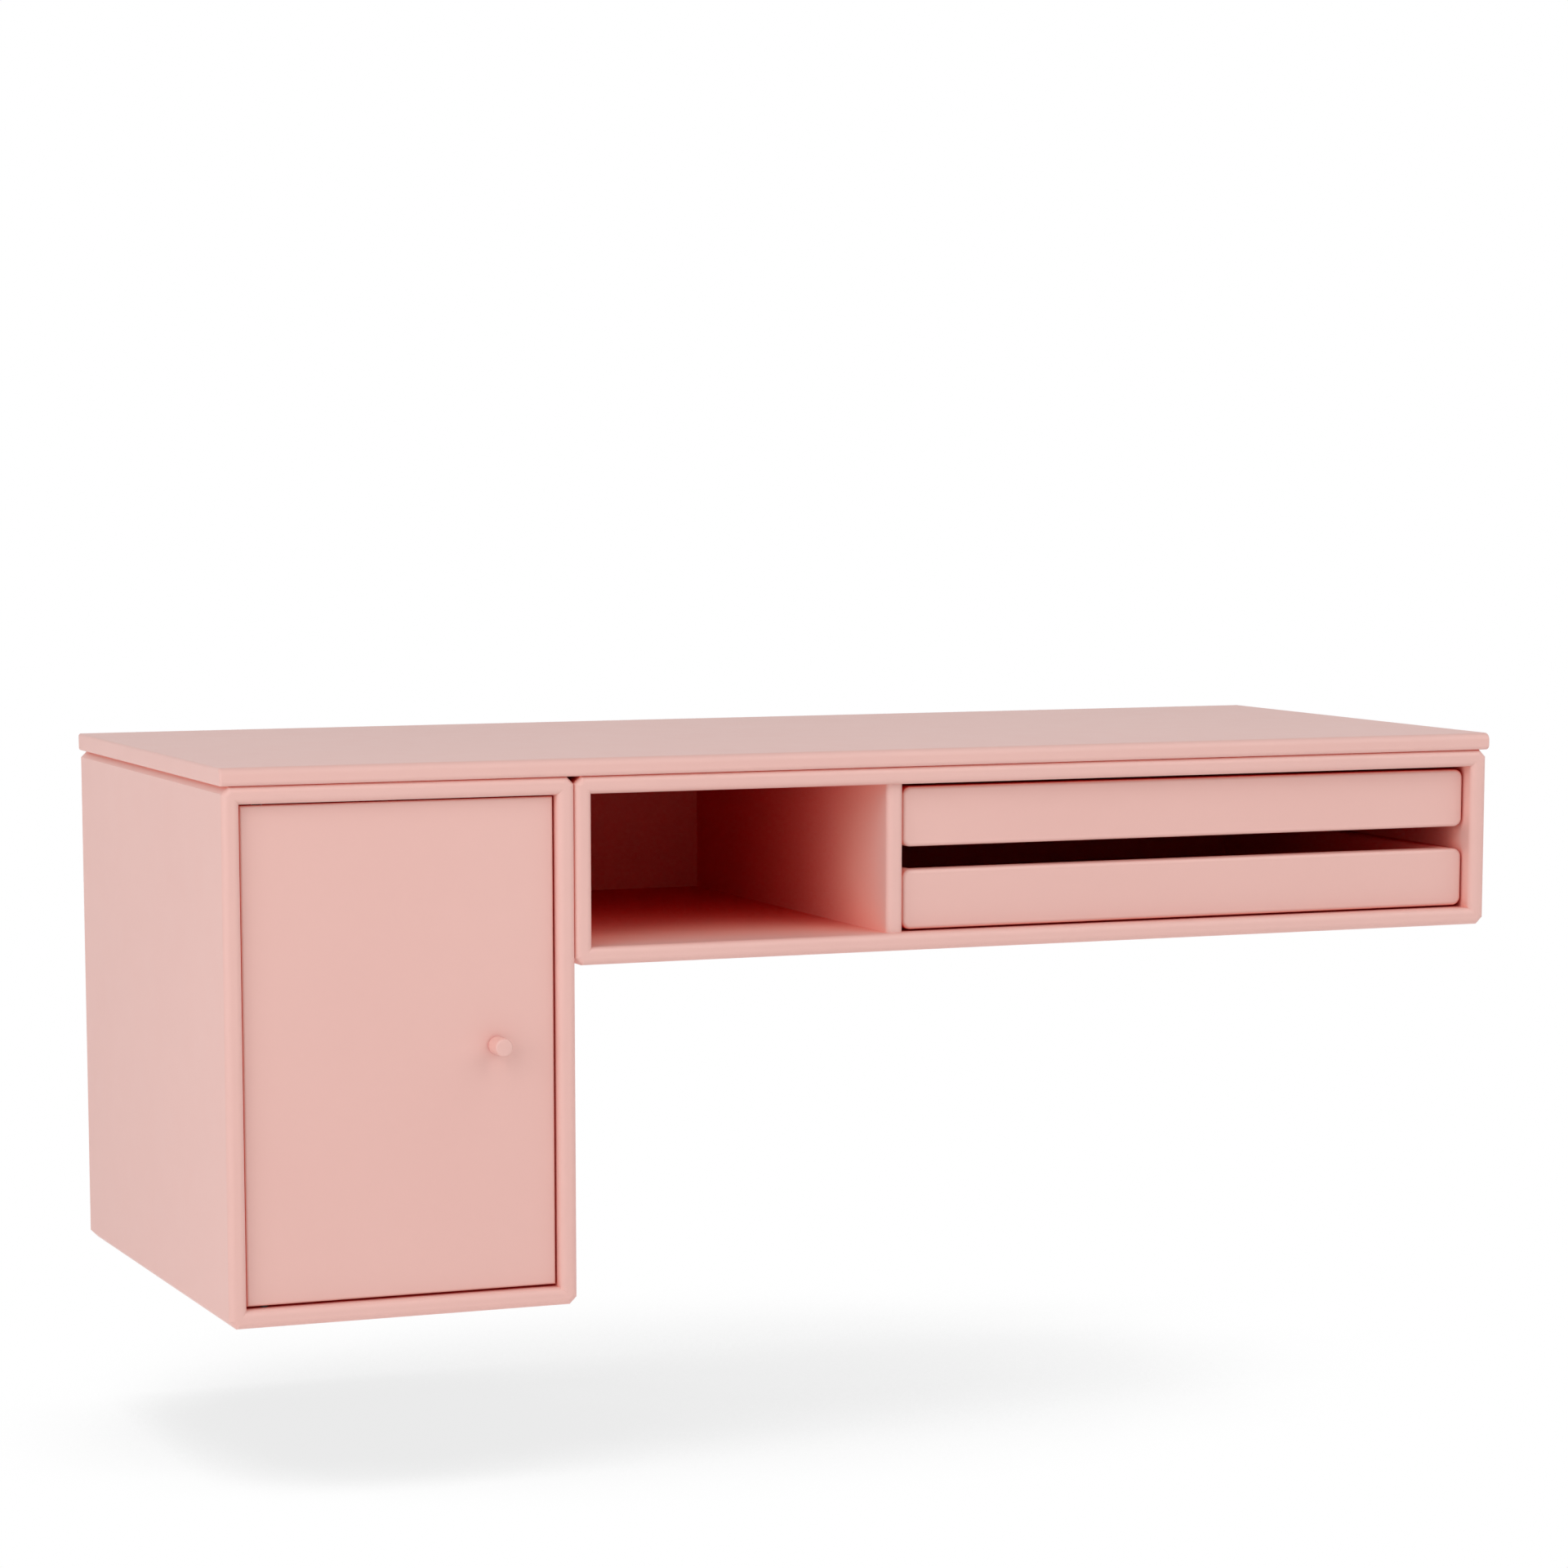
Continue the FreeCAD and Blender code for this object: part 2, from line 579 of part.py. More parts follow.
def tray_front_panel(label):
    body = new_body(label)
    add(body, "XZ_Plane", front_rear, "tray_wall", [rectangle(tray_left, tray_right, "0", "tray_height")])
    rounded(body, "tray_corner", lambda edge: edge.BoundBox.YLength > value("tray_wall") / 2)
    rounded(body, "tray_edge_round", lambda edge: flat_at(edge, "y", f"-{tray_front}"))
    slots = []
    for low in (f"{tray_left} + {tongue_inset}", f"{tray_right} - tray_wall + {tongue_inset}"):
        slots.append(rectangle(f"{low} - glue_fit", f"{low} + tray_tongue_thickness + glue_fit",
                               f"{tongue_low} - glue_fit", f"{tongue_high} + glue_fit"))
    cut(body, "XZ_Plane", f"{front_rear} - cut_overrun", "tray_tongue + glue_fit + cut_overrun", slots)
    slot = rectangle(f"{base_left} - glue_fit", f"{base_right} + glue_fit",
                     f"{base_low} - glue_fit", f"{base_high} + glue_fit")
    cut(body, "XZ_Plane", f"{front_rear} - cut_overrun", "tray_base_groove + glue_fit + cut_overrun", [slot])
    return body


def tray_side(label, on_left):
    body = new_body(label)
    outer = tray_left if on_left else tray_right
    inward = 1 if on_left else -1
    inner = f"({outer} + {inward} * tray_wall)"
    section = rectangle(outer, inner, "0", "tray_height")
    add(body, "XZ_Plane", tray_rear, f"{front_rear} - {tray_rear}", [section])

    def long_at(edge, text):
        return edge.BoundBox.YLength > value("tray_wall") * 2 and flat_at(edge, "x", text)
    rounded(body, "tray_corner", lambda edge: long_at(edge, outer))
    rounded(body, "tray_rim_round", lambda edge: long_at(edge, inner) and flat_at(edge, "z", "tray_height"))

    tongue_outer = f"{outer} + {inward} * {tongue_inset}"
    tongue_inner = f"{outer} + {inward} * ({tongue_inset} + tray_tongue_thickness)"
    add(body, "XZ_Plane", front_rear, "tray_tongue",
        [rectangle(tongue_outer, tongue_inner, tongue_low, tongue_high)])
    slot_floor = f"{inner} - {inward} * (tray_base_groove + glue_fit)"
    slot_mouth = f"{inner} + {inward} * cut_overrun"
    base_slot = rectangle(slot_floor, slot_mouth, f"{base_low} - glue_fit", f"{base_high} + glue_fit")
    base_run = f"{front_rear} - {base_rear} + 2 * glue_fit"
    cut(body, "XZ_Plane", f"{base_rear} - glue_fit", base_run, [base_slot])
    back_slot = rectangle(slot_floor, slot_mouth, f"{tongue_low} - glue_fit", f"{tongue_high} + glue_fit")
    back_start = f"{tray_rear} + {tongue_inset} - glue_fit"
    cut(body, "XZ_Plane", back_start, "tray_tongue_thickness + 2 * glue_fit", [back_slot])
    runner_floor = f"{outer} + {inward} * runner_groove_depth"
    runner_slot = rectangle(f"{outer} - {inward} * cut_overrun", runner_floor, groove_low, groove_high)
    runner_run = f"{groove_end} - {tray_rear} + cut_overrun"
    cut(body, "XZ_Plane", f"{tray_rear} - cut_overrun", runner_run, [runner_slot])
    return body


def tray_back(label):
    body = new_body(label)
    inner_left = f"({tray_left} + tray_wall)"
    inner_right = f"({tray_right} - tray_wall)"
    add(body, "XZ_Plane", tray_rear, "tray_wall", [rectangle(inner_left, inner_right, "0", "tray_height")])
    rounded(body, "tray_rim_round", lambda edge: flat_at(edge, "z", "tray_height")
            and edge.BoundBox.XLength > value("tray_wall") * 2)
    tongues = [rectangle(f"{inner_left} - tray_base_groove", inner_left, tongue_low, tongue_high),
               rectangle(inner_right, f"{inner_right} + tray_base_groove", tongue_low, tongue_high)]
    add(body, "XZ_Plane", f"{tray_rear} + {tongue_inset}", "tray_tongue_thickness", tongues)
    slot = rectangle(f"{inner_left} - cut_overrun", f"{inner_right} + cut_overrun",
                     f"{base_low} - glue_fit", f"{base_high} + glue_fit")
    cut(body, "XZ_Plane", f"{base_rear} - glue_fit", "tray_base_groove + glue_fit + cut_overrun", [slot])
    return body


def tray_base(label):
    body = new_body(label)
    plan = rectangle(base_left, base_right, f"-{base_front}", f"-{base_rear}")
    add(body, "XY_Plane", base_low, "tray_base_thickness", [plan])
    return body


for level, foot in (("upper", upper_tray_foot), ("lower", lower_tray_foot)):
    pieces = (
        tray_front_panel(f"{level}_tray_front"),
        tray_side(f"{level}_tray_left_side", True),
        tray_side(f"{level}_tray_right_side", False),
        tray_back(f"{level}_tray_back"),
        tray_base(f"{level}_tray_base"),
    )
    for piece in pieces:
        piece.setExpression("Placement.Base.z", linked(foot))

# runner strips that the trays' side grooves ride on, let into the divider and the desk box
runner_end = f"({groove_end} - running_gap)"
runner_length = f"({runner_end} - {tray_rear})"
runner_reach = "(tray_side_gap + runner_groove_depth - running_gap)"
for level, foot in (("upper", upper_tray_foot), ("lower", lower_tray_foot)):
    low = f"({foot} + {groove_low} + running_gap)"
    high = f"({foot} + {groove_high} - running_gap)"
    for side, wall, panel, inward in (("left", divider_right, divider, 1),
                                      ("right", f"({right_end} - panel_thickness)", desk["right"], -1)):
        root = f"{wall} - {inward} * runner_housing"
        runner = new_body(f"{level}_{side}_runner")
        section = rectangle(root, f"{wall} + {inward} * {runner_reach}", low, high)
        add(runner, "XZ_Plane", tray_rear, runner_length, [section])
        housing = rectangle(f"{root} - {inward} * glue_fit", f"{wall} + {inward} * cut_overrun",
                            f"{low} - glue_fit", f"{high} + glue_fit")
        cut(panel, "XZ_Plane", f"{tray_rear} - glue_fit", f"{runner_length} + 2 * glue_fit", [housing])

# interlocking rails: one profile on the wall, the same profile upside down behind each back
hang_line = "(2 * rail_flange_above + 2 * rail_gauge + rail_lip)"


def rail_section(turned):
    # y and z of the section; the turned rail is the wall rail rotated half a turn about its length
    flange_top = "rail_flange_above"
    lip_front = "(2 * rail_gauge + 2 * rail_play)"
    lip_rear = "(rail_gauge + 2 * rail_play)"
    lip_top = f"({flange_top} + rail_gauge + rail_lip)"
    section = (
        ("0", "-rail_flange_below"),
        ("0", f"({flange_top} + rail_gauge)"),
        (f"-{lip_rear}", f"({flange_top} + rail_gauge)"),
        (f"-{lip_rear}", lip_top),
        (f"-{lip_front}", lip_top),
        (f"-{lip_front}", flange_top),
        ("-rail_gauge", flange_top),
        ("-rail_gauge", "-rail_flange_below"),
    )
    if not turned:
        return section
    return [(f"-{back_recess} - ({depth})", f"{hang_line} - ({height})") for depth, height in section]


hang_screws = new_body("hanging_rail_screws")
middle_holes = [(f"{desk_middle} + {sign} * middle_hole_spacing / 2", "0") for sign in (-1, 1)]
for name, box, panels, more_holes in (("cabinet", cabinet_box, cabinet, []),
                                      ("desk", desk_box, desk, middle_holes)):
    begin = f"({box[0]} + panel_thickness + rail_end_gap)"
    end = f"({box[1]} - panel_thickness - rail_end_gap)"
    wall_rail = new_body(f"{name}_wall_rail")
    add(wall_rail, "YZ_Plane", begin, f"{end} - {begin}", [rail_section(False)])
    end_holes = [(f"{begin} + wall_hole_inset", "0"), (f"{end} - wall_hole_inset", "0")]
    cut(wall_rail, "XZ_Plane", "-cut_overrun", "rail_gauge + 2 * cut_overrun",
        centres=end_holes + more_holes, diameter="wall_hole_diameter")
    hanging_rail = new_body(f"{name}_hanging_rail")
    add(hanging_rail, "YZ_Plane", begin, f"{end} - {begin}", [rail_section(True)])
    places = [(f"{begin} + hang_screw_inset", hang_line), (f"{end} - hang_screw_inset", hang_line)]
    countersunk_screws(hang_screws, hanging_rail, panels["back"], "XZ_Plane", f"({back_recess} - rail_gauge)",
                       places, "hang_screw_diameter", "hang_screw_head", "rail_gauge + hang_screw_bite")

# every piece has to be sound before any is written
document.recompute()
for item in document.Objects:
    if "Invalid" in item.State or "Error" in item.State:
        raise RuntimeError(f"{item.Label} failed: {item.State}")
for body in bodies:
    if body.Shape.isNull() or not body.Shape.isValid():
        raise RuntimeError(f"{body.Label} has no valid shape")
os.makedirs("parts", exist_ok=True)
for body in bodies:
    body.Shape.exportStep(f"parts/{body.Label}.step")
    print(body.Label, len(body.Shape.Solids), round(body.Shape.Volume))
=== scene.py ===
import json
import math
import bmesh
import bpy
from mathutils import Matrix, Vector


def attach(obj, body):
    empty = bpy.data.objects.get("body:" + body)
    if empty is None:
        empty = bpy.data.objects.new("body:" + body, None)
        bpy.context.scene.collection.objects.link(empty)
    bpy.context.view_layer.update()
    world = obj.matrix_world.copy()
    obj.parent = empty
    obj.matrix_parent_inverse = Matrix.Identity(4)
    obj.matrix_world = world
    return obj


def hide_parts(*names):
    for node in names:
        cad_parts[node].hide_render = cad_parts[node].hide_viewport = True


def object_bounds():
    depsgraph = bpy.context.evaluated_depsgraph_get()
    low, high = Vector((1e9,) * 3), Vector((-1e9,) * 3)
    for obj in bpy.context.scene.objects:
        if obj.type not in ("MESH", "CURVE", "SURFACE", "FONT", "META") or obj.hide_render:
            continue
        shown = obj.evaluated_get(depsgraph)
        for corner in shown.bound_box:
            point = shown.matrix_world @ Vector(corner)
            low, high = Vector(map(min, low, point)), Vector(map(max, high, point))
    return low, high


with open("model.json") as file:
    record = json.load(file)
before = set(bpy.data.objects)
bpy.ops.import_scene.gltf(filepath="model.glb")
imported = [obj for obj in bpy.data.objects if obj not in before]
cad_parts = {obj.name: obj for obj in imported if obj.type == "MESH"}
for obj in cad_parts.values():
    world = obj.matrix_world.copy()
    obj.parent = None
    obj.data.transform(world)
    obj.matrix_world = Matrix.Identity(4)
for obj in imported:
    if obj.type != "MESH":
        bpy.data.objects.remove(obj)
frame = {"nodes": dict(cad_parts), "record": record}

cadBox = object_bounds()     # the box around the loaded parts
nodes = frame["nodes"]
mm = 0.001               # lengths below are in millimetres, unless their note says metres
print("frame loaded:", len(nodes), "nodes")


# small helpers for shader graphs

noiseSpan = (0.25, 0.75)     # most values of a noise pattern lie between these
skyRays = 16                 # rays that feel how open a place is


def startMaterial(name):
    material = bpy.data.materials.new(name)
    material.use_nodes = True
    tree = material.node_tree
    return material, tree, tree.nodes["Principled BSDF"]


def addNode(tree, kind, **values):
    node = tree.nodes.new(kind)
    for key, value in values.items():
        setattr(node, key, value)
    return node


def objectPlace(tree, stretch=None):
    place = addNode(tree, "ShaderNodeTexCoord").outputs["Object"]   # the part's own frame, in metres
    if not stretch:
        return place
    scaled = addNode(tree, "ShaderNodeVectorMath", operation="MULTIPLY")
    tree.links.new(place, scaled.inputs[0])
    scaled.inputs[1].default_value = stretch
    return scaled.outputs[0]


def noise(tree, place, scale, detail, roughness=0.5):
    node = addNode(tree, "ShaderNodeTexNoise")
    tree.links.new(place, node.inputs["Vector"])
    node.inputs["Scale"].default_value = scale
    node.inputs["Detail"].default_value = detail
    node.inputs["Roughness"].default_value = roughness
    return node.outputs["Fac"]


def shareOf(tree, value, span, ends=(0.0, 1.0), easing="LINEAR"):
    node = addNode(tree, "ShaderNodeMapRange", interpolation_type=easing)
    tree.links.new(value, node.inputs["Value"])
    for socket, number in zip(("From Min", "From Max", "To Min", "To Max"), (*span, *ends)):
        node.inputs[socket].default_value = number
    return node.outputs["Result"]


def spread(tree, pattern, ends=(0.0, 1.0)):
    return shareOf(tree, pattern, noiseSpan, ends)


def tint(tree, share, first, second):
    node = addNode(tree, "ShaderNodeMix", data_type="RGBA")
    tree.links.new(share, node.inputs["Factor"])
    for socket, colour in ((node.inputs["A"], first), (node.inputs["B"], second)):
        if hasattr(colour, "links"):
            tree.links.new(colour, socket)
        else:
            socket.default_value = (*colour, 1)
    return node.outputs["Result"]


def openSky(tree, reach, lean=None):
    node = addNode(tree, "ShaderNodeAmbientOcclusion", samples=skyRays)
    node.inputs["Distance"].default_value = reach * mm
    if lean:
        way = addNode(tree, "ShaderNodeNormal").outputs["Normal"]
        way.default_value = lean
        tree.links.new(way, node.inputs["Normal"])
    return node.outputs["AO"]


def linkFinish(tree, shader, colour, gloss, height, relief, metal=0.0):
    strength, depth = relief
    tree.links.new(colour, shader.inputs["Base Color"])
    tree.links.new(gloss, shader.inputs["Roughness"])
    shader.inputs["Metallic"].default_value = metal
    bump = addNode(tree, "ShaderNodeBump")
    bump.inputs["Strength"].default_value = strength
    bump.inputs["Distance"].default_value = depth * mm
    tree.links.new(height, bump.inputs["Height"])
    tree.links.new(bump.outputs["Normal"], shader.inputs["Normal"])


# finishes: a pattern is (scale per metre, detail, roughness), a relief is (strength, depth)

lacquerLook = {
    "colour": (0.775, 0.462, 0.415),      # sprayed pale pink
    "warmColour": (0.790, 0.478, 0.428),  # where the lacquer is a little fuller
    "paintedBounceColour": (0.98, 0.43, 0.35),   # painted bounce light: pink light caught between near walls
    "paintedShadeColour": (0.82, 0.022, 0.018),   # painted shade at the back of a closed-in space
    "cavityReach": 600.0,
    "paintedShadeRange": (0.0, 0.16),             # shares of open sky, in these three ranges: painted shade, painted bounce light, gloss
    "paintedBounceRange": (0.16, 0.46),
    "gleamRange": (0.02, 0.30),
    "gleam": (0.0, 0.5),                  # fades out where little light gets in
    "sheen": (0.42, 0.46),
    "clouds": (5.0, 2.0),
    "glossClouds": (40.0, 4.0),
    "peel": (620.0, 2.0),                 # spray texture, about 1.5 mm across
    "relief": (0.25, 0.06),
}


def pinkLacquer():
    look = lacquerLook
    material, tree, shader = startMaterial("pinkLacquer")
    place = objectPlace(tree)
    clouds = spread(tree, noise(tree, place, *look["clouds"]))
    paint = tint(tree, clouds, look["colour"], look["warmColour"])
    # painted shade and painted bounce light: the colour turns deep red where little open sky reaches, and
    # bright pink a little nearer the opening
    sky = openSky(tree, look["cavityReach"])
    shade = tint(tree, shareOf(tree, sky, look["paintedShadeRange"]), look["paintedShadeColour"], look["paintedBounceColour"])
    paintWithPaintedShade = tint(tree, shareOf(tree, sky, look["paintedBounceRange"]), shade, paint)
    gloss = spread(tree, noise(tree, place, *look["glossClouds"]), look["sheen"])
    linkFinish(tree, shader, paintWithPaintedShade, gloss, noise(tree, place, *look["peel"]), look["relief"])
    gleam = shareOf(tree, sky, look["gleamRange"], look["gleam"])
    tree.links.new(gleam, shader.inputs["Specular IOR Level"])
    return material


steelLook = {
    "pale": (0.66, 0.66, 0.67),
    "dull": (0.50, 0.50, 0.51),
    "sheen": (0.26, 0.40),
    "crystals": (900.0, 4.0),             # of the plating
    "smears": (260.0, 3.0),
    "pitting": (1500.0, 2.0),
    "relief": (0.15, 0.03),
}


def zincSteel():
    look = steelLook
    material, tree, shader = startMaterial("zincSteel")
    place = objectPlace(tree)
    crystals = spread(tree, noise(tree, place, *look["crystals"]))
    colour = tint(tree, crystals, look["pale"], look["dull"])
    gloss = spread(tree, noise(tree, place, *look["smears"]), look["sheen"])
    linkFinish(tree, shader, colour, gloss, noise(tree, place, *look["pitting"]), look["relief"], metal=1.0)
    return material


burnishedLook = {
    "dark": (0.045, 0.042, 0.042),
    "worn": (0.10, 0.095, 0.09),
    "sheen": (0.45, 0.60),
    "wear": (700.0, 4.0, 0.6),
    "relief": (0.15, 0.03),
}


def burnishedSteel():
    look = burnishedLook
    material, tree, shader = startMaterial("burnishedSteel")
    wear = spread(tree, noise(tree, objectPlace(tree), *look["wear"]))
    colour = tint(tree, wear, look["dark"], look["worn"])
    linkFinish(tree, shader, colour, spread(tree, wear, look["sheen"]), wear, look["relief"], metal=1.0)
    return material


railLook = {
    "pale": (0.74, 0.74, 0.75),
    "dull": (0.60, 0.60, 0.62),
    "sheen": (0.28, 0.46),
    "stretch": (4.0, 900.0, 900.0),       # die lines run the length of the rail
    "lines": (1.0, 3.0),
    "smears": (0.7, 2.0),
    "relief": (0.2, 0.04),
}


def railAluminium():
    look = railLook
    material, tree, shader = startMaterial("railAluminium")
    place = objectPlace(tree, look["stretch"])
    lines = spread(tree, noise(tree, place, *look["lines"]))
    colour = tint(tree, lines, look["pale"], look["dull"])
    gloss = spread(tree, noise(tree, place, *look["smears"]), look["sheen"])
    linkFinish(tree, shader, colour, gloss, lines, look["relief"], metal=1.0)
    return material


nylonLook = {
    "colour": (0.70, 0.46, 0.42),
    "shade": (0.64, 0.41, 0.37),
    "sheen": (0.48, 0.60),
    "stretch": (1.0, 0.2, 1.0),           # moulding flow runs front to back
    "flow": (70.0, 3.0),
    "smears": (500.0, 2.0),
    "skin": (1800.0, 1.0),
    "relief": (0.2, 0.03),
}


def tintedNylon():
    look = nylonLook
    material, tree, shader = startMaterial("tintedNylon")
    place = objectPlace(tree)
    flow = spread(tree, noise(tree, objectPlace(tree, look["stretch"]), *look["flow"]))
    colour = tint(tree, flow, look["colour"], look["shade"])
    gloss = spread(tree, noise(tree, place, *look["smears"]), look["sheen"])
    linkFinish(tree, shader, colour, gloss, noise(tree, place, *look["skin"]), look["relief"])
    return material


beechLook = {
    "pale": (0.66, 0.47, 0.30),
    "vein": (0.46, 0.29, 0.16),
    "sheen": (0.55, 0.70),
    "stretch": (900.0, 40.0, 900.0),      # fibres run front to back
    "grain": (1.0, 4.0, 0.6),
    "relief": (0.3, 0.08),
}


def bareBeech():
    look = beechLook
    material, tree, shader = startMaterial("bareBeech")
    grain = noise(tree, objectPlace(tree, look["stretch"]), *look["grain"])
    colour = tint(tree, spread(tree, grain), look["pale"], look["vein"])
    linkFinish(tree, shader, colour, spread(tree, grain, look["sheen"]), grain, look["relief"])
    return material


ferriteLook = {
    "dark": (0.05, 0.05, 0.055),
    "speck": (0.12, 0.12, 0.13),
    "sheen": (0.40, 0.62),
    "specks": (1400.0, 5.0, 0.7),
    "relief": (0.25, 0.04),
}


def ferrite():
    look = ferriteLook
    material, tree, shader = startMaterial("ferrite")
    specks = spread(tree, noise(tree, objectPlace(tree), *look["specks"]))
    colour = tint(tree, specks, look["dark"], look["speck"])
    linkFinish(tree, shader, colour, spread(tree, specks, look["sheen"]), specks, look["relief"])
    return material


finishes = {
    "pink_lacquer": pinkLacquer(),
    "zinc_steel": zincSteel(),
    "dark_steel": burnishedSteel(),
    "rail_aluminium": railAluminium(),
    "nylon": tintedNylon(),
    "bare_wood": bareBeech(),
    "magnet": ferrite(),
}
for row in frame["record"]["subparts"]:
    solid = nodes[row["node"]]
    solid.data.materials.clear()
    solid.data.materials.append(finishes[row["material_slot"]])
print("finishes:", ", ".join(sorted(finishes)))


# mesh helpers: turned, threaded and eased forms about their own axis

weld = 0.001             # joins the corners of a solid's faces
easeShare = 0.49         # of the sides next to a corner, at most
sharpAngle = 35.0        # degrees: edges that turn more stay crisp


def solidBoxes(name):
    solid = bmesh.new()
    solid.from_mesh(nodes[name].data)
    bmesh.ops.remove_doubles(solid, verts=solid.verts, dist=weld * mm)
    unseen, boxes = set(solid.verts), []
    while unseen:
        front, group = [unseen.pop()], []
        while front:
            vert = front.pop()
            group.append(vert.co / mm)
            for edge in vert.link_edges:
                other = edge.other_vert(vert)
                if other in unseen:
                    unseen.remove(other)
                    front.append(other)
        boxes.append([Vector([pick(co[axis] for co in group) for axis in range(3)]) for pick in (min, max)])
    solid.free()
    return sorted(boxes, key=lambda box: tuple(box[0]))


def seatOf(box, towards):
    low, high = box
    way = Vector(towards)
    span = high - low
    length = abs(span.dot(way))
    across = span - way * span.dot(way)
    return (low + high) / 2 + way * length / 2, length, max(map(abs, across)) / 2   # top, length, radius


def easeCorners(points, steps=4):
    eased = []
    for index, (radius, along, easing) in enumerate(points):
        corner = Vector((radius, along))
        if not easing:
            eased.append(corner)
            continue
        before = Vector(points[index - 1][:2]) - corner
        after = Vector(points[(index + 1) % len(points)][:2]) - corner
        reach = min(easing, before.length * easeShare, after.length * easeShare)
        start, end = corner + before.normalized() * reach, corner + after.normalized() * reach
        for step in range(steps + 1):
            share = step / steps
            eased.append(start.lerp(corner, share).lerp(corner.lerp(end, share), share))
    return eased


def turned(mesh, profile, place, towards, sides=48):
    stand = Matrix.Translation(place * mm) @ Vector(towards).to_track_quat("Z", "Y").to_matrix().to_4x4()
    rings = []
    for radius, along in profile:
        ring = []
        for side in range(sides if radius else 1):
            angle = math.tau * side / sides
            reach = radius(angle) if callable(radius) else radius
            point = Vector((reach * math.cos(angle), reach * math.sin(angle), along))
            ring.append(mesh.verts.new(stand @ (point * mm)))
        rings.append(ring)
    for lower, upper in zip(rings, rings[1:]):
        for side in range(sides):
            after = side + 1
            corners = (lower[side % len(lower)], lower[after % len(lower)],
                       upper[after % len(upper)], upper[side % len(upper)])
            mesh.faces.new(list(dict.fromkeys(corners)))   # a pole closes with triangles


def threadRings(root, crest, pitch, start, end, ridge):
    def radiusAt(along, fade):
        def atAngle(angle):
            turn = (along / pitch - angle / math.tau) % 1.0
            return root + (crest - root) * fade * max(0.0, 1.0 - abs(turn - 0.5) / ridge)
        return atAngle

    perTurn = 6
    count = round((end - start) / pitch * perTurn)
    rings = []
    for step in range(count + 1):
        along = start + (end - start) * step / count
        fade = min(1.0, step / perTurn, (count - step) / perTurn)   # runs in and out over one turn
        rings.append((radiusAt(along, fade), along))
    return rings


recessLook = {
    "armAngle": 15.0,      # degrees: an arm's corners then fall on sides of the turned form
    "taperShare": 0.6,     # of its reach, at the floor
    "tipShare": 1.2,       # of its depth, in the middle
    "leastSine": 0.01,     # keeps the middle of an arm from a division by nothing
}


def crossOutline(reach):
    look = recessLook
    halfWidth = reach * math.tan(math.radians(look["armAngle"]))

    def atAngle(angle):
        fromArm = (angle + math.pi / 4) % (math.pi / 2) - math.pi / 4
        return min(reach / math.cos(fromArm), halfWidth / max(abs(math.sin(fromArm)), look["leastSine"]))
    return atAngle


def crossRecess(reach, depth):
    look = recessLook
    floorOutline = crossOutline(reach * look["taperShare"])
    return [(crossOutline(reach), 0), (floorOutline, -depth), (0, -depth * look["tipShare"])]


def hexOutline(acrossFlats):
    def atAngle(angle):
        fromFlat = (angle + math.pi / 6) % (math.pi / 3) - math.pi / 6
        return acrossFlats / 2 / math.cos(fromFlat)
    return atAngle


def slab(mesh, outline, low, high, easing):
    lower = [mesh.verts.new((low * mm, y * mm, z * mm)) for y, z in outline]
    upper = [mesh.verts.new((high * mm, y * mm, z * mm)) for y, z in outline]
    mesh.faces.new(lower)
    mesh.faces.new(upper)
    for index in range(len(outline)):
        after = (index + 1) % len(outline)
        mesh.faces.new((lower[index], lower[after], upper[after], upper[index]))
    arrises = list(dict.fromkeys(edge for vert in lower + upper for edge in vert.link_edges))
    bmesh.ops.bevel(mesh, geom=arrises, offset=easing * mm, segments=3, profile=0.5, affect="EDGES")


def showPiece(name, mesh, body, slotName, *replaced):
    bmesh.ops.recalc_face_normals(mesh, faces=mesh.faces)
    for face in mesh.faces:
        face.smooth = True
    for edge in mesh.edges:
        edge.smooth = edge.calc_face_angle(0.0) < math.radians(sharpAngle)
    data = bpy.data.meshes.new(name)
    mesh.to_mesh(data)
    mesh.free()
    data.materials.append(finishes[slotName])
    piece = bpy.data.objects.new(name, data)
    bpy.context.scene.collection.objects.link(piece)
    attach(piece, body)
    if replaced:
        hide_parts(*replaced)


# screws sunk into the panels, the catch and the hanging rails

sunkLook = {
    "rim": 0.3,            # straight edge of the head
    "rimEase": 0.15,
    "rootShare": 0.68,     # core of the shank under its thread
    "pitchShare": 1.05,    # of the shank's radius, from turn to turn
    "ridgeShare": 0.25,    # of a turn, on each side of the thread's crest
    "plainShare": 0.2,     # of the length has no thread
    "crossShare": 0.56,    # of the head's radius
    "depthShare": 0.55,    # of the head's radius
    "landShare": 1.2,      # of the cross, where the flat of the head ends
}


def sunkScrew(mesh, box, towards):
    look = sunkLook
    place, length, headRadius = seatOf(box, towards)
    shank = headRadius / 2
    neck = shank - headRadius
    plain = neck - length * look["plainShare"]
    cross = headRadius * look["crossShare"]
    profile = [(0, -length)]
    profile += threadRings(shank * look["rootShare"], shank, shank * look["pitchShare"],
                           2 * shank - length, plain, look["ridgeShare"])
    profile += easeCorners([
        (shank, plain, 0),
        (shank, neck, 0),
        (headRadius - look["rim"], -look["rim"], 0),
        (headRadius - look["rim"], 0, look["rimEase"]),
        (cross * look["landShare"], 0, 0),
    ])
    profile += crossRecess(cross, headRadius * look["depthShare"])
    turned(mesh, profile, place, towards)


# sleeves and bolts through the two inner walls, with a socket for a hex key

